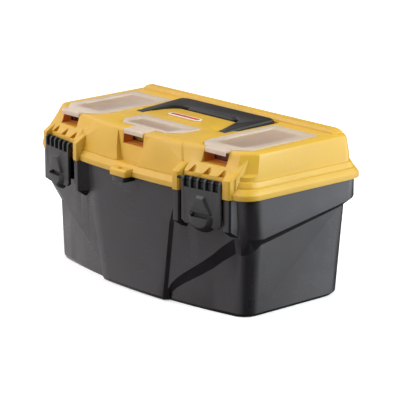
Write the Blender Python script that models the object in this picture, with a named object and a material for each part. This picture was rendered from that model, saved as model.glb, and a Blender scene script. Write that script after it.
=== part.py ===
"""Plastic toolbox, 42 cm long, with a hinged lid, three top organisers, two latches and a lift-out tray.

The long side lies along X, the bowed front faces -Y and the base rests on Z = 0. Sizes below are in
millimetres, and every mesh is scaled to metres once, when it is made.
"""

import math

import bmesh
import bpy
from mathutils import Matrix, Vector

MM = 0.001
GAP = 0.4

# Plan of the box
BOW = 18.0
FLANGE_HALF, FLANGE_FRONT, FLANGE_BACK, FLANGE_RADIUS = 210.0, 114.0, 114.0, 25.0
COLLAR_HALF, COLLAR_BACK, COLLAR_RADIUS = 206.0, 110.0, 26.0
CORE_HALF, CORE_FRONT, CORE_BACK, CORE_RADIUS = 189.0, 95.0, 93.5, 22.0
CORE_DRAFT = 0.055
BENCH_REF = 180.0

# Heights
FLOOR = 3.0
WALL = 3.0
PARTING = 157.0
RIM_TOP = 162.0
STEP_Z = 105.5
STEP_SLOPE = 0.16
STEP_START_Y = -62.0
UNDER_SIDE, UNDER_FRONT = 0.8, 1.9
LID_TOP = 212.5
LID_SLOPE = 0.01

# Front relief
PANEL_FRONT_LOW, PANEL_FRONT_HIGH = 99.0, 107.0
PANEL_PROUD = 3.8
PANEL_HALF_LOW, PANEL_HALF_HIGH = 60.0, 83.0
ARC_START = 62.0
PANEL_MERGE_Z = 131.0
POST_FRONT = 120.0
STRIP_FRONT = 118.5
POST_INNER, POST_OUTER = (96.0, 106.0), (175.5, 186.0)
EDGE = 2.0

# Padlock eye and the niche over it
EYE_Y, EYE_RADIUS = -119.0, 3.6
SHELF_HALF, SHELF_FRONT = 16.0, -125.0
NICHE_LOW, NICHE_HIGH = (171.0, 21.0, 99.5), (209.0, 31.5, 96.3)

# Latches
LATCH_X = 143.5
LATCH_HALF = 31.0
LATCH_LOW, DOME_Z = 118.5, 127.0
COMB_LOW, FINGER_SLOT = -9.5, (-44.5, -39.0)
LATCH_PIN_FRONT, LATCH_PIN_Z, LATCH_PIN_R = 117.0, 174.0, 1.6
COMB_SLOTS = 5

# Carry handle
HANDLE_PIVOT_X, HANDLE_PIVOT_Y, HANDLE_PIVOT_Z = 81.0, -14.0, 208.5
HANDLE_PIN_R = 2.2
HANDLE_OUTER, HANDLE_BACK = 90.5, 68.5
SEAT_HALF, SEAT_FRONT, SEAT_BACK, SEAT_FLOOR = 94.0, -5.0, 71.5, 205.0

# Organisers: edges in X, how far forward the lid and the bin under it reach, and the hinge line
SIDE_BIN = (102.5, 178.5)
CENTRE_BIN = (-59.0, 51.0)
SIDE_FRONTS, CENTRE_FRONTS = (88.0, 78.5), (74.0, 74.0)
SIDE_HINGE_Y, CENTRE_HINGE_Y = 51.5, -31.5
BIN_FLOOR = 184.0
TABS = {"left": -144.0, "centre": 0.0, "right": 144.0}
WINDOW_BORDER = 10.0
TAB_HALF, TAB_FRONT, NOTCH_BACK, NOTCH_FLOOR = 18.0, 98.0, 83.0, 193.0
CATCH_DEPTH, CATCH_LIP = 3.0, 1.3
ORGANISER_PIN_R = 1.2

# Rear hinge
HINGE_Y, HINGE_Z, HINGE_X = 120.0, 157.0, 120.0
HINGE_PIN_R, HINGE_BARREL_R = 2.0, 5.0

# Tray
TRAY_HALF, TRAY_FRONT, TRAY_BACK = 186.0, -72.0, 88.0
TRAY_BOTTOM, TRAY_RIM_Z = 98.0, 138.0
TRAY_WALL = 2.2

STATIONS = (0, 0.17, 0.30, 0.345, 0.37, 0.41, 0.46, 0.53, 0.61, 0.70, 0.80, 0.90, 1.0)


# ---------------------------------------------------------------- scene helpers


def clear_scene():
    for obj in list(bpy.data.objects):
        bpy.data.objects.remove(obj, do_unlink=True)


def new_collection(name, parent=None):
    made = bpy.data.collections.new(name)
    (parent or bpy.context.scene.collection).children.link(made)
    return made


def new_material(name, colour, roughness, alpha=1.0, metallic=0.0):
    made = bpy.data.materials.new(name)
    made.use_nodes = True
    shader = made.node_tree.nodes["Principled BSDF"]
    shader.inputs["Base Color"].default_value = (*colour, 1.0)
    shader.inputs["Roughness"].default_value = roughness
    shader.inputs["Metallic"].default_value = metallic
    shader.inputs["Alpha"].default_value = alpha
    made.diffuse_color = (*colour, alpha)
    return made


def helper_from(name, bm):
    """A hidden working shape; the mesh is in millimetres until here."""
    bmesh.ops.recalc_face_normals(bm, faces=bm.faces)
    bmesh.ops.scale(bm, vec=(MM, MM, MM), verts=bm.verts)
    mesh = bpy.data.meshes.new(name)
    bm.to_mesh(mesh)
    bm.free()
    obj = bpy.data.objects.new(name, mesh)
    obj.hide_render = True
    obj.display_type = "WIRE"
    HELPERS.objects.link(obj)
    return obj


def combine(target, pieces, operation):
    """One exact Boolean of the target with all the pieces, kept as a modifier."""
    group = new_collection(f"{target.name}_{operation.lower()}", HELPERS)
    group.hide_render = True
    for piece in pieces:
        HELPERS.objects.unlink(piece)
        group.objects.link(piece)
    modifier = target.modifiers.new(operation.title(), "BOOLEAN")
    modifier.operation = operation
    modifier.operand_type = "COLLECTION"
    modifier.collection = group
    modifier.solver = "EXACT"
    return target


def unite(target, *pieces):
    return combine(target, pieces, "UNION")


def cut(target, *pieces):
    return combine(target, pieces, "DIFFERENCE")


def make_part(obj, name, material):
    """Turns a working shape into a visible sub-part."""
    obj.name = name
    obj.data.name = name
    obj.hide_render = False
    obj.display_type = "TEXTURED"
    HELPERS.objects.unlink(obj)
    PARTS.objects.link(obj)
    obj.data.materials.append(material)
    obj.data.shade_smooth()
    obj.data.set_sharp_from_angle(angle=math.radians(30))
    return obj


def set_origin(obj, point):
    """Moves the object's origin to a point in millimetres and leaves its shape in place."""
    place = Vector(point) * MM
    obj.data.transform(Matrix.Translation(-place))
    obj.location = place
    return obj


# ---------------------------------------------------------------- basic solids


def loft(name, rings):
    """A closed solid through sections that have equally many points."""
    bm = bmesh.new()
    loops = [[bm.verts.new(point) for point in ring] for ring in rings]
    for lower, upper in zip(loops, loops[1:]):
        for i in range(len(lower)):
            bm.faces.new((lower[i - 1], lower[i], upper[i], upper[i - 1]))
    bm.faces.new(loops[0])
    bm.faces.new(loops[-1])
    return helper_from(name, bm)


def box(name, low, high):
    bm = bmesh.new()
    bmesh.ops.create_cube(bm, size=1.0)
    size = Vector(high) - Vector(low)
    bmesh.ops.scale(bm, vec=size, verts=bm.verts)
    bmesh.ops.translate(bm, vec=(Vector(high) + Vector(low)) / 2, verts=bm.verts)
    return helper_from(name, bm)


def rod(name, centre, axis, radius, length, sides=16):
    """A cylinder about its centre, with its axis along the given direction."""
    bm = bmesh.new()
    bmesh.ops.create_cone(
        bm, cap_ends=True, segments=sides, radius1=radius, radius2=radius, depth=length
    )
    turn = Vector((0, 0, 1)).rotation_difference(Vector(axis)).to_matrix()
    half_side = Matrix.Rotation(math.pi / sides, 3, "Z")
    bmesh.ops.rotate(bm, matrix=turn @ half_side, verts=bm.verts)
    bmesh.ops.translate(bm, vec=Vector(centre), verts=bm.verts)
    return helper_from(name, bm)


def prism(name, outline, low, high, height_at=None):
    """A plan outline raised from low to high; height_at adds a height for each point of it."""
    extra = height_at or (lambda x, y: 0.0)
    return loft(name, [[(x, y, z + extra(x, y)) for x, y in outline] for z in (low, high)])


def side_prism(name, profile, low_x, high_x):
    """A (y, z) profile carried along X."""
    return loft(name, [[(x, y, z) for y, z in profile] for x in (low_x, high_x)])


def rounded(low_x, high_x, low_y, high_y, radius, steps=3):
    """A rectangle with round corners, anticlockwise from its lower left."""
    corners = (
        (low_x + radius, low_y + radius, 180),
        (high_x - radius, low_y + radius, 270),
        (high_x - radius, high_y - radius, 0),
        (low_x + radius, high_y - radius, 90),
    )
    points = []
    for cx, cy, start in corners:
        for step in range(steps + 1):
            turn = math.radians(start + 90 * step / steps)
            points.append((cx + radius * math.cos(turn), cy + radius * math.sin(turn)))
    return points


# ---------------------------------------------------------------- the bowed plan


def bow_at(x):
    return BOW * min(abs(x) / BENCH_REF, 1.05) ** 2


def plan(half, front, back, radius, flatten=0.0, steps=4):
    """The box's outline: a front that bows forward in its middle, straight ends and back, round corners.

    flatten turns the two front corners from round (0) to a straight chamfer (1).
    """
    flat = half - radius
    fractions = [-s for s in reversed(STATIONS[1:])] + list(STATIONS)
    points = [(flat * s, -front + BOW * s * s) for s in fractions]
    corners = (
        (flat, BOW - front + radius, -90, 1),
        (flat, back - radius, 0, 0),
        (-flat, back - radius, 90, 0),
        (-flat, BOW - front + radius, 180, 0),
    )
    for cx, cy, start, first in corners:
        last = steps - 1 if start == 180 else steps
        share = flatten if start in (-90, 180) else 0.0
        begin, end = math.radians(start), math.radians(start + 90)
        for step in range(first, last + 1):
            part = step / steps
            turn = begin + (end - begin) * part
            chord_x = math.cos(begin) * (1 - part) + math.cos(end) * part
            chord_y = math.sin(begin) * (1 - part) + math.sin(end) * part
            points.append(
                (
                    cx + radius * (math.cos(turn) * (1 - share) + chord_x * share),
                    cy + radius * (math.sin(turn) * (1 - share) + chord_y * share),
                )
            )
    return points


def level(z, half, front, back, radius, slope=0.0, flatten=0.0):
    return [(x, y, z + slope * y) for x, y in plan(half, front, back, radius, flatten)]


def front_strip(points, front, depth):
    """A section of a raised rib on the bowed front: (x, setback) points, closed by a straight back."""
    outer = [(x, -front + bow_at(x) + back) for x, back in points]
    first, last = points[0][0], points[-1][0]
    inner = [(last, -front + bow_at(last) + depth), (first, -front + bow_at(first) + depth)]
    return outer + inner


def top_z(y):
    return LID_TOP + LID_SLOPE * y


# ---------------------------------------------------------------- tub


def panel_front(z):
    """How far the front panels stand out, drafted towards the base."""
    return PANEL_FRONT_LOW + (PANEL_FRONT_HIGH - PANEL_FRONT_LOW) * z / PARTING


def step_height(x, y, inset):
    """Lower edge of the upper body: level round the corners, rising to the back, swept down in front."""
    along = abs(x)
    start = ARC_START - inset
    if y > STEP_START_Y:
        return STEP_Z + STEP_SLOPE * (y - STEP_START_Y)
    if along <= start:
        return 0.8
    reach = along - start
    return min(0.8 + 7.3 * math.sqrt(reach) + 1.85e-5 * reach**3, STEP_Z)


def under_slope(y):
    """Drop of the step's underside per unit of its depth: steep in front, flatter round the sides."""
    share = max(0.0, min(1.0, (STEP_START_Y - y) / 26.0))
    return UNDER_SIDE + (UNDER_FRONT - UNDER_SIDE) * share


def tub_core(inset):
    """The lower body, or with an inset the hollow in it."""
    top = 140.0 if inset == 0 else 150.0
    rings = []
    for z, tuck in ((inset, 4.0), (inset + 4.5, 0.0), (top, 0.0)):
        grow = CORE_DRAFT * z - tuck - inset
        front = CORE_FRONT - inset - (1.5 if tuck else 0.0)
        radius = CORE_RADIUS - inset
        rings.append(level(z, CORE_HALF + grow, front, CORE_BACK + grow, radius))
    return loft("core", rings)


def tub_upper(inset):
    """The collar with the swept front panels under it, or with an inset the hollow in them."""
    top_level = RIM_TOP if inset == 0 else RIM_TOP + 10
    radius = COLLAR_RADIUS - inset
    half, back = COLLAR_HALF - inset, COLLAR_BACK - inset
    outer = plan(half, PANEL_FRONT_HIGH - inset, back, radius)
    core_radius = CORE_RADIUS - inset
    edge, under = [], []
    for i, (x, y) in enumerate(outer):
        z = step_height(x, y, inset) + inset
        grow = CORE_DRAFT * z - inset - 1.5
        front = CORE_FRONT - inset - 1.5
        core = plan(CORE_HALF + grow, front, CORE_BACK + grow, core_radius)[i]
        if y < 0:
            y += PANEL_FRONT_HIGH - panel_front(z)
        depth = math.hypot(x - core[0], y - core[1]) * under_slope(outer[i][1])
        edge.append((x, y, z))
        under.append((*core, max(z - depth, inset + 0.4 * z / (z + 1))))
    top = [(x, y, top_level) for x, y in outer]
    return loft("upper", [under, edge, top])


def centre_panel():
    """The trapezoid panel between the latches, raised with sloped sides."""
    rings = []
    for z in (0.8, 5.0, 108.0, PANEL_MERGE_Z):
        half = PANEL_HALF_LOW + (PANEL_HALF_HIGH - PANEL_HALF_LOW) * z / PANEL_MERGE_Z
        tuck = 2.0 if z < 1 else 0.0
        tuck = PANEL_PROUD + 0.5 if z == PANEL_MERGE_Z else tuck
        front = panel_front(z) + PANEL_PROUD - tuck
        shoulder = half + PANEL_PROUD + 1.5
        middle = [half * s for s in (-1, -0.75, -0.5, -0.25, 0, 0.25, 0.5, 0.75, 1)]
        points = [(-shoulder, PANEL_PROUD + 1.5)]
        points += [(x, 0.0) for x in middle]
        points += [(shoulder, PANEL_PROUD + 1.5)]
        rings.append([(x, y, z) for x, y in front_strip(points, front, 8.0)])
    return loft("centre_panel", rings)


def bay_strip(side, inner, outer, low, chamfer_inner):
    """An upright rib beside a latch, with a sloped foot and, towards the middle, a sloped flank."""
    rings = []
    for z, front in ((low - 9.0, 106.0), (low, STRIP_FRONT), (PARTING - 0.6, STRIP_FRONT)):
        flank = chamfer_inner * (front - 104.0)
        points = [(inner - flank, front - 104.0), (inner, 0.0), (outer - EDGE, 0.0), (outer, EDGE)]
        if side < 0:
            points = [(-x, back) for x, back in reversed(points)]
        section = front_strip(points, front, front - 96.0)
        rings.append([(x, y, z) for x, y in section])
    return loft("bay_strip", rings)


def catch(side):
    """The rib that each latch's lip snaps over."""
    bar = box("catch", (-26, 4.0, 127), (26, 14, 132))
    return place_on_front(bar, side)


def place_on_front(obj, side):
    """Carries a piece built about the latch pin's plan position to the left or right latch bay."""
    turn = math.atan(2 * BOW * LATCH_X / BENCH_REF**2) * side
    spot = Vector((LATCH_X * side, -LATCH_PIN_FRONT + bow_at(LATCH_X), 0)) * MM
    obj.data.transform(Matrix.Translation(spot) @ Matrix.Rotation(turn, 4, "Z"))
    return obj


def hinge_barrels(spans, arm_low, arm_high, arm_front):
    """Rear hinge knuckles with their arms, on both hinges."""
    made = []
    for side in (-1, 1):
        for start, end in spans:
            low, high = sorted((side * start, side * end))
            middle = ((low + high) / 2, HINGE_Y, HINGE_Z)
            made.append(rod("barrel", middle, (1, 0, 0), HINGE_BARREL_R, high - low))
            made.append(box("arm", (low, arm_front, arm_low), (high, HINGE_Y + 1, arm_high)))
    return made


def hinge_bores():
    return [
        rod("bore", (side * HINGE_X, HINGE_Y, HINGE_Z), (1, 0, 0), HINGE_PIN_R + 0.35, 60)
        for side in (-1, 1)
    ]


def make_tub():
    tub = tub_core(0)
    rails = [
        box("rail", (min(s * 191.5, s * 204), -44, 131), (max(s * 191.5, s * 204), 84, TRAY_RIM_Z - GAP))
        for s in (-1, 1)
    ]
    ribs = [tub_upper(0), centre_panel()]
    for side in (-1, 1):
        ribs.append(bay_strip(side, *POST_INNER, 117, 0.8))
        ribs.append(bay_strip(side, *POST_OUTER, 116, 0.0))
        ribs.append(catch(side))
    padlock = prism("padlock_tab", rounded(-13, 13, SHELF_FRONT + 0.5, -100, 4), 150, PARTING - 0.6)
    unite(tub, *ribs, padlock, *hinge_barrels(((105, 115), (125, 135)), 149.5, 156.5, 108.5))
    cut(tub, tub_core(WALL), tub_upper(WALL))
    unite(tub, *rails)
    cut(tub, rod("eye", (0, EYE_Y, 152), (0, 0, 1), EYE_RADIUS, 20), *hinge_bores())
    return make_part(tub, "tub", BLACK)


# ---------------------------------------------------------------- lid


LID_LEVELS = (
    (PARTING, 0.0, 0.0, 0.0, 0.0),
    (163.5, 0.0, 0.0, 0.0, 0.0),
    (169.8, 4.0, 4.5, 3.5, 1.0),
    (170.6, 5.6, 6.0, 5.0, 1.0),
    (171.6, 5.4, 5.4, 4.8, 1.0),
    (177.5, 8.0, 7.6, 7.5, 2.0),
    (178.4, 9.4, 9.0, 9.0, 2.0),
    (184.0, 9.6, 10.5, 11.5, 6.0),
    (187.0, 10.0, 12.0, 12.0, 7.0),
    (206.5, 13.0, 18.0, 14.5, 8.0),
    (210.3, 14.8, 20.0, 16.5, 9.0),
    (LID_TOP, 18.5, 23.5, 20.5, 11.0),
)
CHAMFER_Z = 186.0
LID_PANEL = ((168.5, 99, 108.3), (186, 97, 104.8), (205, 89, 98.6), (209, 87, 96.6), (211.4, 86, 93))


def lid_shell(inset):
    """The lid's outer body, or with an inset the hollow in it."""
    rings = []
    for z, side_in, front_in, back_in, radius_in in LID_LEVELS:
        drop = inset * (1.0 if z > 205 else 0.5)
        slope = LID_SLOPE * max(0.0, min(1.0, (z - CHAMFER_Z) / 20.0))
        height = z - drop if z > PARTING else z - 3 * inset
        rings.append(
            level(
                height,
                FLANGE_HALF - side_in - inset,
                FLANGE_FRONT - front_in - inset,
                FLANGE_BACK - back_in - inset,
                FLANGE_RADIUS - radius_in - inset,
                slope,
                1.0 if z > CHAMFER_Z else 0.0,
            )
        )
    return loft("shell", rings)


def front_panel():
    """The proud middle of the lid's front, between the two latch lobes."""
    rings = []
    for z, half, front in LID_PANEL:
        stations = [half * s / 4 for s in range(-4, 5)]
        points = [(-half - 1.5, 6.0)] + [(x, 0.0) for x in stations] + [(half + 1.5, 6.0)]
        rings.append([(x, y, z) for x, y in front_strip(points, front, 9.0)])
    return loft("front_panel", rings)


def latch_lobe(side):
    """The fuller part of the lid's front behind a latch, blending out towards the top."""
    rings = []
    for z, front in ((163.0, 112.3), (182.0, 111.6), (206.0, 90.0)):
        spread = 7.0 * (z < 204)
        points = [(108 - spread, spread), (108, 0.0), (126, 0), (144, 0), (162, 0), (176, 0)]
        points += [(188, 1.0)]
        if side < 0:
            points = [(-x, back) for x, back in reversed(points)]
        section = front_strip(points, front, 14.0)
        rings.append([(x, y, z) for x, y in section])
    return loft("lobe", rings)


def lid_post(side, inner, outer):
    """An upright post that carries one end of a latch's pin."""
    rings = []
    for z, front in ((PARTING, POST_FRONT), (180.5, POST_FRONT), (189.5, 105.5)):
        points = [(inner - 1.0, front - 103.0), (inner, 0.0), (outer - EDGE, 0.0), (outer, EDGE)]
        if side < 0:
            points = [(-x, back) for x, back in reversed(points)]
        section = front_strip(points, front, front - 100.0)
        rings.append([(x, y, z) for x, y in section])
    return loft("post", rings)


def padlock_shelf():
    """The ledge over the padlock eye."""
    rings = []
    for z, front in ((PARTING, SHELF_FRONT), (164.0, SHELF_FRONT), (166.5, SHELF_FRONT + 2.5)):
        rings.append([(x, y, z) for x, y in rounded(-SHELF_HALF, SHELF_HALF, front, -100, 3)])
    return loft("shelf", rings)


def rear_ridge():
    """The raised bar along the back of the top, with sloped ends."""
    rings = []
    for z, half, front, back in ((206, 188, 74, 94), (214.5, 187, 74.5, 93.5), (218.5, 183, 77, 89)):
        rings.append([(x, y, z) for x, y in rounded(-half, half, front, back, 2.5, 2)])
    return loft("ridge", rings)


def side_bin_outline(grow, front):
    """Plan of a side organiser at the right end: its front follows the bow and both front corners are cut."""
    inner, outer = SIDE_BIN[0] - grow, SIDE_BIN[1] + grow
    reach, back = front + grow, SIDE_HINGE_Y + 1 + grow
    stations = [inner + 19, (inner + outer) / 2, outer - 17]
    edge = [(x, -reach + bow_at(x)) for x in stations]
    start, end = edge[0][1], edge[-1][1]
    left = [(inner, start + 26), (inner + 5, start + 12)]
    return left + edge + [(outer, end + 17), (outer, back), (inner, back)]


def centre_bin_outline(grow, front):
    low, high = CENTRE_BIN[0] - grow, CENTRE_BIN[1] + grow
    reach, back = front + grow, CENTRE_HINGE_Y + 1 + grow
    front_edge = [(low + 13, -reach), (0, -reach), (high - 13, -reach)]
    return [(low, -reach + 15)] + front_edge + [(high, -reach + 15), (high, back), (low, back)]


def bin_outline(which, grow, layer=0):
    """Plan of an organiser: layer 0 is its clear lid, layer 1 the bin under it."""
    if which == "centre":
        return centre_bin_outline(grow, CENTRE_FRONTS[layer])
    sign = 1 if which == "right" else -1
    outline = [(sign * x, y) for x, y in side_bin_outline(grow, SIDE_FRONTS[layer])]
    return outline if sign > 0 else outline[::-1]


def hinge_line(which):
    """The organiser lid's hinge line: its height, its Y and the X range of its pin."""
    if which == "centre":
        y, low, high = CENTRE_HINGE_Y, CENTRE_BIN[0] - 4.5, CENTRE_BIN[1] + 4.5
    else:
        sign = 1 if which == "right" else -1
        y = SIDE_HINGE_Y
        low, high = sorted((sign * (SIDE_BIN[0] - 4.5), sign * (SIDE_BIN[1] + 4.5)))
    return top_z(y) - 2.6, y, low, high


def slope_over(x, y):
    return LID_SLOPE * y


def notch_box(which, margin, low_z, back):
    """The finger notch under an organiser's tab, following the bowed front."""
    middle = TABS[which]
    half = TAB_HALF + margin
    shift = bow_at(middle)
    return box("notch", (middle - half, -135 + shift, low_z), (middle + half, -back + shift, 230))


def catch_pocket(which):
    """The pocket in a finger notch's back wall, where the tab's snap goes in."""
    middle = TABS[which]
    face = -NOTCH_BACK + bow_at(middle)
    return box(
        "catch",
        (middle - TAB_HALF, face - 1, NOTCH_FLOOR + CATCH_LIP),
        (middle + TAB_HALF, face + CATCH_DEPTH, LID_TOP - 8),
    )


def niche(margin, back):
    """The shallow recess over the padlock eye, narrower towards the eye."""
    rings = []
    for z, half, floor in (NICHE_LOW, NICHE_HIGH):
        reach, deep = half + margin, -floor + back
        z += -margin if z < 190 else margin
        rings.append([(-reach, -135, z), (reach, -135, z), (reach, deep, z), (-reach, deep, z)])
    return loft("niche", rings)


def pivot_block(grow, low_z, back):
    """The box round each end of the handle: at grow 0 the pocket its boss turns in."""
    return [
        box(
            "pivot",
            (side * HANDLE_PIVOT_X - 7.8 - grow, HANDLE_PIVOT_Y - 6.5 - min(grow, 3), low_z),
            (side * HANDLE_PIVOT_X + 7.8 + grow, back, 230),
        )
        for side in (-1, 1)
    ]


def seat_plateau(inset):
    """Plan of the part of the top that stays level inside the folded handle, inset all round."""
    right = [(72.1, -7), (67.7, 12.5), (61.8, 23.4), (53.5, 29.7)]
    half = [(x - inset, y - inset if y > 0 else y) for x, y in right]
    return half + [(-x, y) for x, y in reversed(half)]


def handle_seat(grow, low_z):
    """The channel the folded handle lies in; grow adds the wall round and under it."""
    outline = rounded(-SEAT_HALF - grow, SEAT_HALF + grow, SEAT_FRONT - grow, SEAT_BACK + grow, 5)
    seat = prism("seat", outline, low_z, 230)
    return cut(seat, prism("plateau", seat_plateau(grow), low_z - 5, 235))


def lid_hollow():
    """The space inside the lid, less the walls of the bins, notches and handle seat that hang into it."""
    hollow = lid_shell(WALL)
    kept = [niche(2.8, 2.8)] + pivot_block(7.0, SEAT_FLOOR - 5.3, SEAT_FRONT + 4)
    for which in TABS:
        kept.append(prism("bin_wall", bin_outline(which, 2.5, 1), BIN_FLOOR - 2.5, 230))
        height, y, low, high = hinge_line(which)
        kept.append(box("hinge_wall", (low - 3, y - 6, height - 7), (high + 3, y + 7, 230)))
        kept.append(notch_box(which, 4.0, NOTCH_FLOOR - 2.8, NOTCH_BACK - 2.8))
    kept.append(handle_seat(2.8, SEAT_FLOOR - 2.8))
    return cut(hollow, *kept)


def bin_cutters(which):
    """The bin itself, the rebate its clear lid and tab lie in, and the groove round the hinge knuckle."""
    height, y, low, high = hinge_line(which)
    pocket = prism("pocket", bin_outline(which, -2.5, 1), BIN_FLOOR, 230)
    rebate = prism("rebate", bin_outline(which, 2.0 + GAP), LID_TOP - 2.4, 235, slope_over)
    groove = box("groove", (low + 2, y - 4.2, height - 4.9), (high - 2, y + 4.9, 230))
    bore = rod("bore", ((low + high) / 2, y, height), (1, 0, 0), ORGANISER_PIN_R + 0.3, high - low + 1)
    notch = notch_box(which, 1.5, NOTCH_FLOOR, NOTCH_BACK)
    tab_slot = notch_box(which, 1.5, LID_TOP - 5.0, CENTRE_FRONTS[0] - 2 if which == "centre" else 86)
    return [pocket, rebate, groove, bore, notch, tab_slot, catch_pocket(which)]


def core_marks(side):
    """Three small pointed recesses in the lid over each latch comb."""
    made = []
    for offset in (-23.5, 0, 23.5):
        profile = [(-6, 181), (5, 181), (5, 187), (2, 191), (-2, 186.5)]
        rings = [[(offset + x, y, z) for x, z in profile] for y in (-8, 12.5)]
        made.append(place_on_front(loft("mark", rings), side))
    return made


def handle_bores():
    return [
        rod("bore", (s * HANDLE_PIVOT_X, HANDLE_PIVOT_Y, HANDLE_PIVOT_Z), (1, 0, 0), HANDLE_PIN_R + 0.3, 24.4)
        for s in (-1, 1)
    ]


def latch_bores():
    made = []
    for side in (-1, 1):
        bore = rod("bore", (-2.5 * side, 0, LATCH_PIN_Z), (1, 0, 0), LATCH_PIN_R + 0.35, 82)
        made.append(place_on_front(bore, side))
    return made


def make_lid():
    lid = lid_shell(0)
    pieces = [padlock_shelf(), rear_ridge(), front_panel()]
    for side in (-1, 1):
        pieces.append(latch_lobe(side))
        pieces.append(lid_post(side, *POST_INNER))
        pieces.append(lid_post(side, *POST_OUTER))
    unite(lid, *pieces)
    cutters = [lid_hollow(), niche(0.0, 0.0)] + pivot_block(0.0, SEAT_FLOOR - 2.5, SEAT_FRONT + 2)
    for which in TABS:
        cutters += bin_cutters(which)
    for side in (-1, 1):
        cutters += core_marks(side)
    cutters.append(handle_seat(0, SEAT_FLOOR))
    cut(lid, *cutters)
    unite(lid, *hinge_barrels(((115.5, 124.5),), 157.5, 163.0, 111.5))
    eye = rod("eye", (0, EYE_Y, 160), (0, 0, 1), EYE_RADIUS, 24)
    cut(lid, *handle_bores(), *latch_bores(), *hinge_bores(), eye)
    return make_part(lid, "lid", YELLOW)


# ---------------------------------------------------------------- latches


def make_latch(side):
    """A snap latch built about its pin: comb and knuckle on top, finger lip and snap lip below."""
    half = LATCH_HALF
    front, back = -4.5, -0.6
    low, corner = LATCH_LOW - LATCH_PIN_Z, LATCH_LOW + 4 - LATCH_PIN_Z
    outline = [(-half, 1.0), (half, 1.0), (half, corner), (half - 5, low), (5 - half, low), (-half, corner)]
    latch = loft("plate", [[(x, y, z) for x, z in outline] for y in (front, back)])
    knuckle = rod("knuckle", (0, 0, 0), (1, 0, 0), 4.2, 2 * half, 20)
    web = box("web", (-half, back - 1, COMB_LOW - 0.9), (half, 2.0, 2.0))
    high, foot = FINGER_SLOT[1] - 1.5, front + 1
    raised = [
        [(-6.5, foot, high + 24.0), (6.5, foot, high + 24.0), (18.5, foot, high), (-18.5, foot, high)],
        [(-5.0, -8.0, high + 20.0), (5.0, -8.0, high + 20.0), (15.0, -8.0, high + 2), (-15.0, -8.0, high + 2)],
    ]
    dome = []
    for y, half_x, height in ((back, 22.5, 17.5), (-5.5, 18.5, 14.5), (-9.0, 13.0, 10.0)):
        dome.append([(x, y, z) for x, z in dome_outline(half_x, height)])
    lip = box("lip", (-24, back - 1, low + 1), (24, 3.2, low + 6.5))
    unite(latch, knuckle, web, loft("raised", raised), loft("dome", dome), lip)
    pitch = 2 * half / (COMB_SLOTS + 0.35)
    slots = []
    for i in range(COMB_SLOTS):
        middle = (i - (COMB_SLOTS - 1) / 2) * pitch
        slots.append(box("slot", (middle - 4.4, -9, COMB_LOW), (middle + 4.4, 0.6, 8)))
    finger = box("finger", (-13.0, -13, FINGER_SLOT[0]), (13.0, -2.4, FINGER_SLOT[1]))
    cut(latch, *slots, finger, rod("bore", (0, 0, 0), (1, 0, 0), LATCH_PIN_R + 0.35, 80))
    name = "latch_right" if side > 0 else "latch_left"
    return place_at_pin(make_part(latch, name, BLACK_SATIN), side)


def dome_outline(half, height):
    """A flat-topped tongue with a round foot, in the latch's front view."""
    middle = DOME_Z - LATCH_PIN_Z
    points = [(-half, middle + 4.5), (half, middle + 4.5)]
    for step in range(9):
        turn = math.radians(-180 * step / 8)
        points.append((half * math.cos(turn), middle + height * math.sin(turn)))
    return points


def place_at_pin(obj, side):
    """Stands a piece, built about the latch pin, in its bay and turns it with the bowed front."""
    for modifier in obj.modifiers:
        for helper in modifier.collection.objects:
            helper.parent = obj
    obj.location = Vector((LATCH_X * side, -LATCH_PIN_FRONT + bow_at(LATCH_X), LATCH_PIN_Z)) * MM
    obj.rotation_euler.z = math.atan(2 * BOW * LATCH_X / BENCH_REF**2) * side
    return obj


def make_latch_pin(side):
    pin = rod("pin", (-2.5 * side, 0, 0), (1, 0, 0), LATCH_PIN_R, 80.5)
    name = "latch_pin_right" if side > 0 else "latch_pin_left"
    return place_at_pin(make_part(pin, name, STEEL), side)


# ---------------------------------------------------------------- carry handle


def handle_outline():
    """Right half of the bail's plan, from the middle of its back edge round to the middle of its grip."""
    px, py = HANDLE_PIVOT_X, HANDLE_PIVOT_Y
    return [
        (0, HANDLE_BACK),
        (HANDLE_OUTER - 9, HANDLE_BACK),
        (HANDLE_OUTER - 2, HANDLE_BACK - 3),
        (HANDLE_OUTER, HANDLE_BACK - 10),
        (px + 5.6, py + 4),
        (px + 5.6, py),
        (px - 5.6, py),
        (px - 5.6, py + 4),
        (70, 13),
        (64, 25),
        (55, 34),
        (43, 39),
        (0, 39),
    ]


def bail_ring(z, tuck, top):
    """One section of the bail; the arms thin out towards their pivots."""
    ring = []
    half = handle_outline()
    for x, y in half + [(-x, y) for x, y in reversed(half[1:-1])]:
        rise = min((y - HANDLE_PIVOT_Y) / 22.0, 1.0)
        height = z - (3.6 * (1.0 - rise) if top else 0.0) + 0.012 * (y - HANDLE_PIVOT_Y)
        inward = -0.6 * math.copysign(tuck, x) if abs(x) > 74 else 0.0
        along = -tuck if y > 60 else (tuck if 30 < y < 41 else 0.0)
        ring.append((x + inward, y + along, height))
    return ring


def make_handle():
    sections = ((207.6, 1.4, False), (209.2, 0.0, False), (214.4, 0.0, True), (216.4, 1.8, True))
    handle = loft("bail", [bail_ring(*section) for section in sections])
    grip = []
    for z, front, half_x in ((205.8, 38, 43), (208.0, 33.5, 47), (213.5, 32.5, 47), (216.2, 36.5, 43)):
        grip.append([(x, y, z) for x, y in rounded(-half_x, half_x, front, 60, 5)])
    bosses = [
        rod("boss", (s * HANDLE_PIVOT_X, HANDLE_PIVOT_Y, HANDLE_PIVOT_Z), (1, 0, 0), 4.3, 14.6, 20)
        for s in (-1, 1)
    ]
    unite(handle, loft("grip", grip), *bosses)
    cut(handle, *handle_bores())
    pivot = (0, HANDLE_PIVOT_Y, HANDLE_PIVOT_Z)
    return set_origin(make_part(handle, "carry_handle", BLACK_SATIN), pivot)


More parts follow.
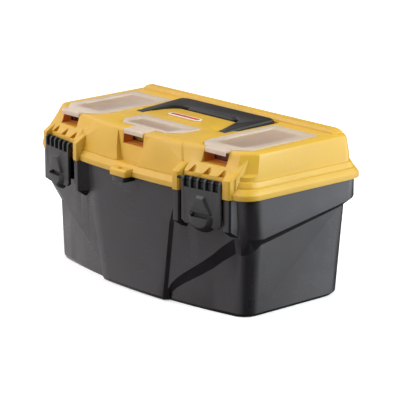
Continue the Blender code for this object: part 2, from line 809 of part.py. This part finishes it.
def make_handle_pin(side):
    spot = (side * HANDLE_PIVOT_X, HANDLE_PIVOT_Y, HANDLE_PIVOT_Z)
    pin = rod("pin", spot, (1, 0, 0), HANDLE_PIN_R, 23.4)
    name = "handle_pin_right" if side > 0 else "handle_pin_left"
    return set_origin(make_part(pin, name, STEEL), spot)


# ---------------------------------------------------------------- organiser lids


def tab_profile(which):
    """Side view of the finger tab: out over the edge of the box, then down over the notch."""
    inner = -CENTRE_FRONTS[0] if which == "centre" else -SIDE_FRONTS[0] + bow_at(TABS[which])
    edge = -TAB_FRONT + bow_at(TABS[which])
    top = LID_TOP + 0.6 + LID_SLOPE * edge
    return [
        (inner + 6, top),
        (edge + 1.2, top),
        (edge, top - 1.4),
        (edge, top - 6.4),
        (edge + 2.0, top - 6.4),
        (edge + 2.0, top - 2.6),
        (inner + 6, top - 2.4),
    ]


def make_organiser_lid(which):
    """A clear lid: thin plate with a raised border, a knuckle along the back and a finger tab in front."""
    height, y, low, high = hinge_line(which)
    plate = prism("plate", bin_outline(which, 2.0), LID_TOP - 1.9, LID_TOP + 0.7, slope_over)
    middle = TABS[which]
    tab = side_prism("tab", tab_profile(which), middle - TAB_HALF, middle + TAB_HALF)
    knuckle = rod("knuckle", ((low + high) / 2, y, height), (1, 0, 0), 2.3, high - low - 5)
    unite(plate, tab, knuckle)
    window = prism("window", bin_outline(which, -WINDOW_BORDER, 1), LID_TOP - 0.1, LID_TOP + 4, slope_over)
    bore = rod("bore", ((low + high) / 2, y, height), (1, 0, 0), ORGANISER_PIN_R + 0.35, high - low)
    cut(plate, window, bore)
    made = make_part(plate, f"organiser_lid_{which}", CLEAR)
    return set_origin(made, ((low + high) / 2, y, height))


def make_organiser_pin(which):
    height, y, low, high = hinge_line(which)
    spot = ((low + high) / 2, y, height)
    pin = rod("pin", spot, (1, 0, 0), ORGANISER_PIN_R, high - low - 0.6, 12)
    return set_origin(make_part(pin, f"organiser_pin_{which}", STEEL), spot)


# ---------------------------------------------------------------- small pieces and tray


def make_hinge_pin(side):
    spot = (side * HINGE_X, HINGE_Y, HINGE_Z)
    pin = rod("pin", spot, (1, 0, 0), HINGE_PIN_R, 31)
    name = "lid_hinge_pin_right" if side > 0 else "lid_hinge_pin_left"
    return set_origin(make_part(pin, name, STEEL), spot)


def make_badge():
    """The blank plate on the lid's top, inside the folded handle."""
    outline = rounded(-42.5, 18.5, -5, 6, 5.2, 5)
    plate = prism("plate", outline, LID_TOP + 0.3, LID_TOP + 1.4, slope_over)
    return make_part(plate, "badge", RED)


def tray_ring(z, grow, radius):
    outline = rounded(-TRAY_HALF - grow, TRAY_HALF + grow, TRAY_FRONT - grow, TRAY_BACK + grow, radius, 4)
    return [(x, y, z) for x, y in outline]


def make_tray():
    """The lift-out tray: two long troughs, a hanging rim and a grip wall with a hand slot."""
    top = TRAY_RIM_Z + 2.5
    tray = loft("body", [tray_ring(TRAY_BOTTOM, -4, 20), tray_ring(top - 1.5, 0, 22)])
    rim = loft("rim", [tray_ring(TRAY_RIM_Z, 5.5, 26), tray_ring(top, 5.5, 26)])
    ears = [
        box("ear", (min(s * 186, s * 199.5), -36, TRAY_RIM_Z), (max(s * 186, s * 199.5), 76, top))
        for s in (-1, 1)
    ]
    unite(tray, rim, *ears)
    wall = TRAY_WALL
    troughs = []
    for low, high in ((TRAY_FRONT + 4 + wall, 5.0), (11.0, TRAY_BACK - 4 - wall)):
        flare_low = 3.5 if low < 0 else 0.0
        flare_high = 3.5 if low > 0 else 0.0
        bottom = rounded(-TRAY_HALF + 4 + wall, TRAY_HALF - 4 - wall, low, high, 8)
        mouth = rounded(-TRAY_HALF + wall, TRAY_HALF - wall, low - flare_low, high + flare_high, 8)
        rings = [(TRAY_BOTTOM + wall, bottom), (top + 6, mouth)]
        troughs.append(loft("trough", [[(x, y, z) for x, y in ring] for z, ring in rings]))
    cut(tray, *troughs)
    grip = [(-75, TRAY_BOTTOM + 5), (75, TRAY_BOTTOM + 5), (75, 138), (62, 144.5), (-62, 144.5), (-75, 138)]
    unite(tray, loft("grip", [[(x, y, z) for x, z in grip] for y in (4.0, 12.0)]))
    slot = rounded(-46, 46, 117, 136, 8, 4)
    cut(tray, loft("slot", [[(x, y, z) for x, z in slot] for y in (0, 16)]))
    for x, low, high in ((-70, TRAY_FRONT, 4.0), (70, 12.0, TRAY_BACK)):
        unite(tray, *divider_guides(x, low, high))
    return make_part(tray, "tray", GREY)


def divider_guides(x, low, high):
    """Four small ribs that hold a divider's two ends."""
    made = []
    for y in (low + 1.5 if low < 0 else low - 1, high - 2.5 if high < 50 else high - 5.5):
        for offset in (-2.9, 1.3):
            made.append(box("guide", (x + offset, y, TRAY_BOTTOM + 1), (x + offset + 1.6, y + 7.5, 134)))
    return made


def make_tray_divider(name, x, low, high):
    plate = box("divider", (x - 1.0, low, TRAY_BOTTOM + TRAY_WALL + 0.4), (x + 1.0, high, 132))
    return make_part(plate, name, GREY)


# ---------------------------------------------------------------- assembly

clear_scene()
PARTS = new_collection("toolbox")
HELPERS = new_collection("cutters")
HELPERS.hide_render = True

YELLOW = new_material("yellow_plastic", (0.76, 0.42, 0.07), 0.42)
BLACK = new_material("black_plastic", (0.045, 0.044, 0.047), 0.38)
BLACK_SATIN = new_material("black_satin_plastic", (0.03, 0.03, 0.032), 0.45)
CLEAR = new_material("clear_plastic", (0.86, 0.82, 0.78), 0.2, alpha=0.45)
GREY = new_material("tray_plastic", (0.09, 0.09, 0.095), 0.5)
RED = new_material("badge_red", (0.45, 0.06, 0.04), 0.4)
STEEL = new_material("pin_steel", (0.55, 0.55, 0.56), 0.35, metallic=1.0)

make_tub()
make_lid()
make_handle()
make_badge()
make_tray()
make_tray_divider("tray_divider_front", -70.0, TRAY_FRONT + 7.0, 3.4)
make_tray_divider("tray_divider_back", 70.0, 12.6, TRAY_BACK - 7.0)
for sign in (-1, 1):
    make_latch(sign)
    make_latch_pin(sign)
    make_handle_pin(sign)
    make_hinge_pin(sign)
for organiser in TABS:
    make_organiser_lid(organiser)
    make_organiser_pin(organiser)
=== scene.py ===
import math

import bpy  # noqa: E402
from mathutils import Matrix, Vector  # noqa: E402


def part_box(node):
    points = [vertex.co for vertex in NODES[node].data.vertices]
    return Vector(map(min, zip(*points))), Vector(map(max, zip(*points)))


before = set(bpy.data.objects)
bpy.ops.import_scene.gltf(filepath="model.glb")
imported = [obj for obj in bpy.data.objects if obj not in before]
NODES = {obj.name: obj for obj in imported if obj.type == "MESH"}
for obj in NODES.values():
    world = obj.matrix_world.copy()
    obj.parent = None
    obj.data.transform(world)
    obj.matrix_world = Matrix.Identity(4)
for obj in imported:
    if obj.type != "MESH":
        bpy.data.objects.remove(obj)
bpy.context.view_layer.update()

# Lengths are in metres and angles in degrees. The front is -Y; azimuth 0 is in front, 90 to the right.

# Camera; its lens and sensor are in millimetres
CAMERA_AT = (2.0279, -1.7697, 0.8205)
CAMERA_AIM = (0.0181, 0.0, 0.1069)
CAMERA_LENS, SENSOR_WIDTH = 190.5, 36.0

# How bright the studio's walls are, and how much brighter the rear one is higher up than near its foot
REAR_WALL, FRONT_WALL, CEILING, DIM_WALL = 2.0, 0.97, 0.4, 0.05
REAR_RISE = 1.3
REAR_AZIMUTH, FRONT_AZIMUTH = 140, -50
# Where a wall fades in sideways, as the cosine of the angle to its azimuth
REAR_SIDES, FRONT_SIDES, TINT_SIDES = (0.68, 0.88), (0.05, 0.45), (0.2, 0.8)
# Where it fades in upwards, as the height of the ray's direction: 0 at the horizon, 1 straight up
WALL_FOOT, REAR_STEP, CEILING_EDGE = (-0.72, -0.46), (-0.42, -0.24), (0.45, 0.9)
WARM_AIR, COOL_AIR = (1.0, 0.965, 0.985), (0.92, 0.94, 1.0)

WHITE, COOL_GREEN = (1.0, 1.0, 1.0), (0.84, 1.0, 0.95)
LIGHT_AIM = (0.0, 0.0, 0.1)

# The floor lies just under the box, so that the two don't share a plane
FLOOR_RADIUS, FLOOR_DROP, FLOOR_SIDES = 14.0, 0.0004, 96

# Most values of a noise lie between these
NOISE_SPREAD = (0.3, 0.7)

# Moulded plastic: how much further its clouds go down than up, how much of the paler tone a rub mark shows,
# how much rougher it is there, and how far handling brings its roughness down and up
CLOUD_DOWN, MARK_SHARE, MARK_ROUGHER = 1.6, 0.35, 0.12
POLISHED, DULLED = 0.06, 0.07

# Finger notches under the organisers' tabs, as part.py has them: the tabs' middles in X, half a tab's width,
# the notch's floor, and its depth from the tab's front edge to its back wall
TAB_X = {"left": -0.144, "centre": 0.0, "right": 0.144}
TAB_HALF, NOTCH_FLOOR, NOTCH_DEPTH = 0.018, 0.193, 0.015
# Painted shade: the darker yellows painted into each finger notch and, darkest, into the catch pocket behind
# its tab
NOTCH_SHADE, POCKET_SHADE = (0.62, 0.19, 0.032), (0.16, 0.020, 0.010)

# Each notch's two boxes of painted shade, the notch and the catch pocket in its back wall: how far they go
# past the tab's sides, their front and back from the tab's front edge, their bottom from the notch's floor,
# and their top down from the clear lid's top
PAINTED_SHADE_BOXES = (
    (0.0028, -0.001, NOTCH_DEPTH + 0.0016, -0.0008, 0.008, NOTCH_SHADE),
    (0.0015, NOTCH_DEPTH - 0.0002, NOTCH_DEPTH + 0.0055, 0.0, 0.006, POCKET_SHADE),
)
# Soft border of each box of painted shade
PAINTED_SHADE_EDGE = 0.0012

# Frosted window of a clear lid: how far in from the tab's front edge and from the other three sides, how far
# it goes past the lid's top and underside, and its soft border
WINDOW_FRONT, WINDOW_SIDES, WINDOW_PAST, WINDOW_EDGE = 0.026, 0.0145, 0.01, 0.003

# Finish of the carried-over parts
WELD_DISTANCE, FLAT_ANGLE = 0.00002, 0.6
BEVEL_ANGLE, BEVEL_SEGMENTS = 28.0, 2
SMOOTH_ANGLE, PIN_SMOOTH_ANGLE = 24.0, 40.0
EDGE_WIDTHS = {
    "lid": 0.0009,
    "tub": 0.0009,
    "latch_left": 0.0006,
    "latch_right": 0.0006,
    "carry_handle": 0.0014,
    "tray": 0.0007,
    "tray_divider_front": 0.0003,
    "tray_divider_back": 0.0003,
    "organiser_lid_left": 0.0004,
    "organiser_lid_centre": 0.0004,
    "organiser_lid_right": 0.0004,
    "badge": 0.0003,
}

# Where the Mix node keeps its colours: the two inputs and the output
MIX_A, MIX_B, MIX_RESULT = 6, 7, 2


# ---------------------------------------------------------------- node graphs


class Graph:
    """A short way to write a material's or the world's nodes."""

    def __init__(self, owner):
        owner.use_nodes = True
        self.tree = owner.node_tree
        self.nodes = self.tree.nodes

    def put(self, socket, value):
        """Links a socket, or sets its number or colour; None leaves it as it is."""
        if value is None:
            return
        if isinstance(value, bpy.types.NodeSocket):
            self.tree.links.new(value, socket)
        elif isinstance(value, (tuple, list)) and len(value) == 3 and socket.type == "RGBA":
            socket.default_value = (*value, 1.0)
        else:
            socket.default_value = value

    def math(self, kind, a, b=None):
        node = self.nodes.new("ShaderNodeMath")
        node.operation = kind
        self.put(node.inputs[0], a)
        self.put(node.inputs[1], b)
        return node.outputs[0]

    def ramp(self, value, low, high, to_low=0.0, to_high=1.0):
        """A smooth step: to_low where the value is below low, to_high where it is above high."""
        node = self.nodes.new("ShaderNodeMapRange")
        node.interpolation_type = "SMOOTHSTEP"
        names = ("Value", "From Min", "From Max", "To Min", "To Max")
        for name, number in zip(names, (value, low, high, to_low, to_high)):
            self.put(node.inputs[name], number)
        return node.outputs["Result"]

    def mix(self, share, a, b):
        """Colour a where share is 0, colour b where it is 1."""
        node = self.nodes.new("ShaderNodeMix")
        node.data_type = "RGBA"
        self.put(node.inputs["Factor"], share)
        self.put(node.inputs[MIX_A], a)
        self.put(node.inputs[MIX_B], b)
        return node.outputs[MIX_RESULT]

    def place(self, kind="Object"):
        return self.nodes.new("ShaderNodeTexCoord").outputs[kind]

    def split(self, vector):
        node = self.nodes.new("ShaderNodeSeparateXYZ")
        self.put(node.inputs[0], vector)
        return node.outputs

    def stretch(self, vector, scale, turn=(0.0, 0.0, 0.0)):
        node = self.nodes.new("ShaderNodeMapping")
        self.put(node.inputs["Vector"], vector)
        node.inputs["Scale"].default_value = scale
        node.inputs["Rotation"].default_value = turn
        return node.outputs[0]

    def noise(self, vector, scale, detail=2.0, rough=0.5):
        node = self.nodes.new("ShaderNodeTexNoise")
        self.put(node.inputs["Vector"], vector)
        node.inputs["Scale"].default_value = scale
        node.inputs["Detail"].default_value = detail
        node.inputs["Roughness"].default_value = rough
        return node.outputs["Fac"]

    def bump(self, height, distance, strength, normal=None):
        node = self.nodes.new("ShaderNodeBump")
        self.put(node.inputs["Height"], height)
        node.inputs["Distance"].default_value = distance
        node.inputs["Strength"].default_value = strength
        self.put(node.inputs["Normal"], normal)
        return node.outputs[0]


def shader_of(material):
    return next(n for n in material.node_tree.nodes if n.type == "BSDF_PRINCIPLED")


def new_material(name):
    """A material with its graph, its shader and its object coordinates."""
    material = bpy.data.materials.new(name)
    graph = Graph(material)
    return material, graph, shader_of(material), graph.place()


def scratches(graph, place, turn, scale, width):
    """Thin, broken, nearly straight rub marks: 1 on a mark, 0 off it."""
    long_way = graph.stretch(place, (scale * 0.06, scale, scale), turn)
    line = graph.noise(long_way, scale=1.0, detail=1.0, rough=0.4)
    line = graph.math("ABSOLUTE", graph.math("SUBTRACT", line, 0.5))
    line = graph.ramp(line, 0.0, width, 1.0, 0.0)
    broken = graph.ramp(graph.noise(place, scale=14.0, detail=1.0), 0.52, 0.66)
    return graph.math("MULTIPLY", line, broken)


def inside_box(graph, place, low, high, edge):
    """1 inside the box between two corners, 0 outside it, with a soft border."""
    inside = None
    for value, start, end in zip(graph.split(place), low, high):
        rise = graph.ramp(value, start, start + edge)
        fall = graph.ramp(value, end - edge, end, 1.0, 0.0)
        both = graph.math("MULTIPLY", rise, fall)
        inside = both if inside is None else graph.math("MULTIPLY", inside, both)
    return inside


# ---------------------------------------------------------------- materials


def moulded_tone(graph, place, marks, colour, grain, mark_light, cloud, shade_boxes):
    """Cloudy colour with paler rub marks, light specks, and painted shade in each recess."""
    clouds = graph.noise(place, scale=9.0, detail=3.0, rough=0.6)
    dark = tuple(c * (1.0 - cloud * CLOUD_DOWN) for c in colour)
    light = tuple(min(1.0, c * (1.0 + cloud)) for c in colour)
    paler = tuple(c + (1.0 - c) * mark_light for c in colour)
    base = graph.mix(graph.ramp(clouds, *NOISE_SPREAD), dark, light)
    base = graph.mix(graph.math("MULTIPLY", marks, MARK_SHARE), base, paler)
    specks = graph.noise(place, scale=grain * 0.7, detail=1.0)
    base = graph.mix(graph.ramp(specks, 0.62, 0.74, to_low=0.0, to_high=0.35), base, light)
    # Painted shade: each box darkens the colour where a finger notch or catch pocket lies in shade
    for low, high, tone in shade_boxes:
        base = graph.mix(inside_box(graph, place, low, high, PAINTED_SHADE_EDGE), base, tone)
    return base


def moulded(name, colour, roughness, grain, grain_depth, mark_light, cloud, glow=0.0, shade_boxes=()):
    """Injection-moulded plastic: spark-eroded grain, cloudy tone, faint rub marks and handling gloss.

    grain is the scale of its pits and grain_depth their depth; mark_light is how much paler a mark can be,
    cloud how far the tone wanders, and glow how much light is scattered under the skin.
    The last argument holds (low corner, high corner, tone) boxes of painted shade, each deepening the colour
    where a recess lies in shade.
    """
    material, graph, shader, place = new_material(name)
    marks = graph.math(
        "MAXIMUM",
        scratches(graph, place, turn=(0.3, 0.2, 0.5), scale=95.0, width=0.008),
        scratches(graph, place, turn=(1.2, 0.5, -0.4), scale=70.0, width=0.006),
    )
    base = moulded_tone(graph, place, marks, colour, grain, mark_light, cloud, shade_boxes)
    graph.put(shader.inputs["Base Color"], base)
    worn = graph.noise(place, scale=22.0, detail=3.0, rough=0.65)
    rough = graph.ramp(worn, 0.3, 0.72, roughness - POLISHED, roughness + DULLED)
    rough = graph.math("ADD", rough, graph.math("MULTIPLY", marks, MARK_ROUGHER))
    graph.put(shader.inputs["Roughness"], rough)
    pits = graph.noise(place, scale=grain, detail=2.0, rough=0.6)
    skin = graph.bump(pits, distance=grain_depth, strength=0.5)
    sinks = graph.noise(place, scale=16.0, detail=1.0)
    graph.put(shader.inputs["Normal"], graph.bump(sinks, distance=0.0006, strength=0.35, normal=skin))
    shader.inputs["IOR"].default_value = 1.49
    shader.inputs["Subsurface Weight"].default_value = glow
    shader.inputs["Subsurface Radius"].default_value = (1.0, 0.35, 0.1)
    shader.inputs["Subsurface Scale"].default_value = 0.003
    return material


def clear_plastic(name, window_low, window_high, edge):
    """Milky clear styrene: whiter at its border, a slightly rosy frosted window inside."""
    material, graph, shader, place = new_material(name)
    inside = inside_box(graph, place, window_low, window_high, edge)
    haze = graph.ramp(graph.noise(place, scale=30.0, detail=3.0, rough=0.6), *NOISE_SPREAD)
    border = graph.mix(haze, (0.92, 0.76, 0.60), (0.96, 0.82, 0.68))
    window = graph.mix(haze, (0.84, 0.64, 0.48), (0.90, 0.70, 0.54))
    graph.put(shader.inputs["Base Color"], graph.mix(inside, border, window))
    clear = graph.ramp(inside, 0.0, 1.0, to_low=0.46, to_high=0.62)
    graph.put(shader.inputs["Transmission Weight"], clear)
    grain = graph.noise(place, scale=240.0, detail=2.0)
    marks = scratches(graph, place, turn=(0.0, 0.0, 0.4), scale=120.0, width=0.005)
    rough = graph.ramp(grain, *NOISE_SPREAD, to_low=0.30, to_high=0.34)
    graph.put(shader.inputs["Roughness"], graph.math("ADD", rough, graph.math("MULTIPLY", marks, 0.15)))
    graph.put(shader.inputs["Normal"], graph.bump(grain, distance=0.00003, strength=0.15))
    shader.inputs["IOR"].default_value = 1.5
    return material


def label_film(name, low, high):
    """The blank plate: an off-white film with one plain red bar."""
    material, graph, shader, place = new_material(name)
    x, y, _ = graph.split(place)
    width, depth = high[0] - low[0], high[1] - low[1]
    middle_x, middle_y = (low[0] + high[0]) / 2, (low[1] + high[1]) / 2
    along = graph.math("ABSOLUTE", graph.math("SUBTRACT", x, middle_x))
    across = graph.math("ABSOLUTE", graph.math("SUBTRACT", y, middle_y))
    bar = graph.math(
        "MULTIPLY",
        graph.ramp(along, width * 0.44, width * 0.455, 1.0, 0.0),
        graph.ramp(across, depth * 0.29, depth * 0.33, 1.0, 0.0),
    )
    worn = graph.noise(place, scale=260.0, detail=3.0, rough=0.7)
    faded = graph.ramp(worn, 0.35, 0.7)
    paper = graph.mix(faded, (0.86, 0.80, 0.70), (0.93, 0.88, 0.80))
    ink = graph.mix(faded, (0.48, 0.035, 0.03), (0.60, 0.06, 0.045))
    graph.put(shader.inputs["Base Color"], graph.mix(bar, paper, ink))
    rough = graph.ramp(worn, *NOISE_SPREAD, to_low=0.25, to_high=0.42)
    graph.put(shader.inputs["Roughness"], rough)
    fibres = graph.noise(place, scale=700.0, detail=1.0)
    graph.put(shader.inputs["Normal"], graph.bump(fibres, distance=0.00004, strength=0.4))
    return material


def drawn_wire(name, colour, roughness):
    """Steel pin stock with draw lines along X; only the latch pins are turned a little from it."""
    material, graph, shader, place = new_material(name)
    along_x = graph.stretch(place, (6.0, 2200.0, 2200.0))
    lines = graph.noise(along_x, scale=1.0, detail=2.0, rough=0.7)
    dark = tuple(c * 0.72 for c in colour)
    graph.put(shader.inputs["Base Color"], graph.mix(graph.ramp(lines, *NOISE_SPREAD), dark, colour))
    rough = graph.ramp(lines, *NOISE_SPREAD, to_low=roughness, to_high=roughness + 0.18)
    graph.put(shader.inputs["Roughness"], rough)
    graph.put(shader.inputs["Normal"], graph.bump(lines, distance=0.00003, strength=0.5))
    shader.inputs["Metallic"].default_value = 1.0
    return material


def floor_material():
    material, graph, shader, place = new_material("pale_floor")
    tone = graph.noise(place, scale=1.3, detail=2.0)
    graph.put(shader.inputs["Base Color"], graph.mix(tone, (0.93, 0.93, 0.93), (0.95, 0.95, 0.95)))
    shader.inputs["Roughness"].default_value = 0.9
    shader.inputs["Specular IOR Level"].default_value = 0.1
    shader.inputs["Emission Color"].default_value = (1.0, 1.0, 1.0, 1.0)
    shader.inputs["Emission Strength"].default_value = 0.4
    return material


def lid_painted_shade():
    """Boxes of painted shade in the lid's yellow: the finger notches and their catch pockets."""
    made = []
    for part, middle in TAB_X.items():
        low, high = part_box(f"organiser_lid_{part}")
        for side, front, back, bottom, top, tone in PAINTED_SHADE_BOXES:
            half = TAB_HALF + side
            low_corner = (middle - half, low.y + front, NOTCH_FLOOR + bottom)
            high_corner = (middle + half, low.y + back, high.z - top)
            made.append((low_corner, high_corner, tone))
    return made


def paint(material, *names):
    for name in names:
        obj = NODES[name]
        obj.data.materials.clear()
        obj.data.materials.append(material)


def paint_parts():
    yellow = moulded(
        "lid_yellow",
        (0.72, 0.425, 0.042),
        roughness=0.38,
        grain=1500.0,
        grain_depth=0.00012,
        mark_light=0.30,
        cloud=0.03,
        glow=0.2,
        # Painted shade in the finger notches and their catch pockets
        shade_boxes=lid_painted_shade(),
    )
    black = moulded(
        "tub_black",
        (0.020, 0.0175, 0.0195),
        roughness=0.30,
        grain=1700.0,
        grain_depth=0.00014,
        mark_light=0.06,
        cloud=0.10,
    )
    satin = moulded(
        "latch_black",
        (0.026, 0.025, 0.026),
        roughness=0.42,
        grain=1300.0,
        grain_depth=0.00010,
        mark_light=0.08,
        cloud=0.10,
    )
    grip = moulded(
        "handle_black",
        (0.018, 0.016, 0.0145),
        roughness=0.44,
        grain=1100.0,
        grain_depth=0.00016,
        mark_light=0.08,
        cloud=0.10,
    )
    tray = moulded(
        "tray_black",
        (0.024, 0.024, 0.025),
        roughness=0.48,
        grain=1200.0,
        grain_depth=0.00014,
        mark_light=0.06,
        cloud=0.10,
    )
    steel = drawn_wire("pin_steel", (0.56, 0.56, 0.57), roughness=0.26)
    dark_steel = drawn_wire("pin_black", (0.035, 0.034, 0.035), roughness=0.42)
    shader_of(grip).inputs["Specular IOR Level"].default_value = 0.4

    paint(yellow, "lid")
    paint(black, "tub")
    paint(satin, "latch_left", "latch_right")
    paint(grip, "carry_handle")
    paint(tray, "tray", "tray_divider_front", "tray_divider_back")
    paint(dark_steel, "latch_pin_left", "latch_pin_right", "handle_pin_left", "handle_pin_right")
    paint(steel, "lid_hinge_pin_left", "lid_hinge_pin_right")
    for part in TAB_X:
        paint(steel, f"organiser_pin_{part}")
        low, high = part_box(f"organiser_lid_{part}")
        window_low = (low.x + WINDOW_SIDES, low.y + WINDOW_FRONT, low.z - WINDOW_PAST)
        window_high = (high.x - WINDOW_SIDES, high.y - WINDOW_SIDES, high.z + WINDOW_PAST)
        clear = clear_plastic(f"clear_{part}", window_low, window_high, WINDOW_EDGE)
        paint(clear, f"organiser_lid_{part}")
    paint(label_film("badge_film", *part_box("badge")), "badge")


# ---------------------------------------------------------------- finish of the carried-over parts


def soften(obj, width):
    """Rounds the moulded edges a little: real mouldings have no knife edges."""
    weld = obj.modifiers.new("weld", "WELD")
    weld.merge_threshold = WELD_DISTANCE
    flat = obj.modifiers.new("flat", "DECIMATE")
    flat.decimate_type = "DISSOLVE"
    flat.angle_limit = math.radians(FLAT_ANGLE)
    edge = obj.modifiers.new("edge", "BEVEL")
    edge.width = width
    edge.segments = BEVEL_SEGMENTS
    edge.limit_method = "ANGLE"
    edge.angle_limit = math.radians(BEVEL_ANGLE)
    edge.miter_outer = "MITER_ARC"
    smooth_by_angle(obj, SMOOTH_ANGLE)


def smooth_by_angle(obj, degrees):
    for polygon in obj.data.polygons:
        polygon.use_smooth = True
    split = obj.modifiers.new("split", "EDGE_SPLIT")
    split.split_angle = math.radians(degrees)


def finish_parts():
    for name, width in EDGE_WIDTHS.items():
        soften(NODES[name], width)
    for name in NODES:
        if "_pin_" in name:
            smooth_by_angle(NODES[name], PIN_SMOOTH_ANGLE)


# ---------------------------------------------------------------- studio


def make_floor():
    """A wide pale disc that catches the shadow, and that glossy and bounced light pass through."""
    bpy.ops.mesh.primitive_circle_add(
        vertices=FLOOR_SIDES, radius=FLOOR_RADIUS, fill_type="NGON", location=(0, 0, -FLOOR_DROP)
    )
    floor = bpy.context.active_object
    floor.name = "floor"
    floor.data.materials.append(floor_material())
    floor.visible_glossy = False
    floor.visible_diffuse = False


def make_light(name, azimuth, elevation, distance, size, power, colour=WHITE):
    """A soft panel aimed at the box."""
    a, e = math.radians(azimuth), math.radians(elevation)
    direction = Vector((math.sin(a) * math.cos(e), -math.cos(a) * math.cos(e), math.sin(e)))
    data = bpy.data.lights.new(name, "AREA")
    data.shape = "RECTANGLE"
    data.size, data.size_y = size
    data.energy = power
    data.color = colour
    light = bpy.data.objects.new(name, data)
    light.location = Vector(LIGHT_AIM) + direction * distance
    light.rotation_euler = (-direction).to_track_quat("-Z", "Y").to_euler()
    bpy.context.scene.collection.objects.link(light)


def make_world():
    """A pale studio: bright walls to the front left and the right rear, darker ones between."""
    world = bpy.data.worlds.new("studio")
    bpy.context.scene.world = world
    graph = Graph(world)
    background = next(n for n in graph.nodes if n.type == "BACKGROUND")
    x, y, z = graph.split(graph.place("Generated"))

    def towards(azimuth):
        """How directly a ray heads for an azimuth: 1 straight at it, 0 square to it."""
        a = math.radians(azimuth)
        to_right, to_front = math.sin(a), -math.cos(a)
        return graph.math("ADD", graph.math("MULTIPLY", x, to_right), graph.math("MULTIPLY", y, to_front))

    rear_light = graph.ramp(z, *REAR_STEP, REAR_WALL, REAR_WALL * REAR_RISE)
    rear = graph.math("MULTIPLY", graph.ramp(towards(REAR_AZIMUTH), *REAR_SIDES), rear_light)
    front = graph.ramp(towards(FRONT_AZIMUTH), *FRONT_SIDES, 0.0, FRONT_WALL)
    over = graph.ramp(z, *CEILING_EDGE, 0.0, CEILING)
    walls = graph.math("MULTIPLY", graph.math("ADD", rear, front), graph.ramp(z, *WALL_FOOT))
    total = graph.math("ADD", walls, graph.math("ADD", over, DIM_WALL))
    graph.put(background.inputs["Strength"], total)
    tint = graph.mix(graph.ramp(towards(REAR_AZIMUTH), *TINT_SIDES), WARM_AIR, COOL_AIR)
    graph.put(background.inputs["Color"], tint)


def make_camera():
    data = bpy.data.cameras.new("camera")
    data.lens = CAMERA_LENS
    data.sensor_width = SENSOR_WIDTH
    camera = bpy.data.objects.new("camera", data)
    camera.location = CAMERA_AT
    aim = Vector(CAMERA_AIM) - Vector(CAMERA_AT)
    camera.rotation_euler = aim.to_track_quat("-Z", "Y").to_euler()
    bpy.context.scene.collection.objects.link(camera)
    bpy.context.scene.camera = camera


paint_parts()
finish_parts()
make_floor()
make_world()
make_light("front_left", azimuth=-38, elevation=38, distance=2.6, size=(2.0, 1.4), power=19)
make_light("right", azimuth=108, elevation=32, distance=2.6, size=(1.8, 1.4), power=41, colour=COOL_GREEN)
make_light("top", azimuth=10, elevation=82, distance=2.8, size=(2.4, 2.4), power=9)
make_camera()
bpy.context.scene.view_settings.view_transform = "Standard"
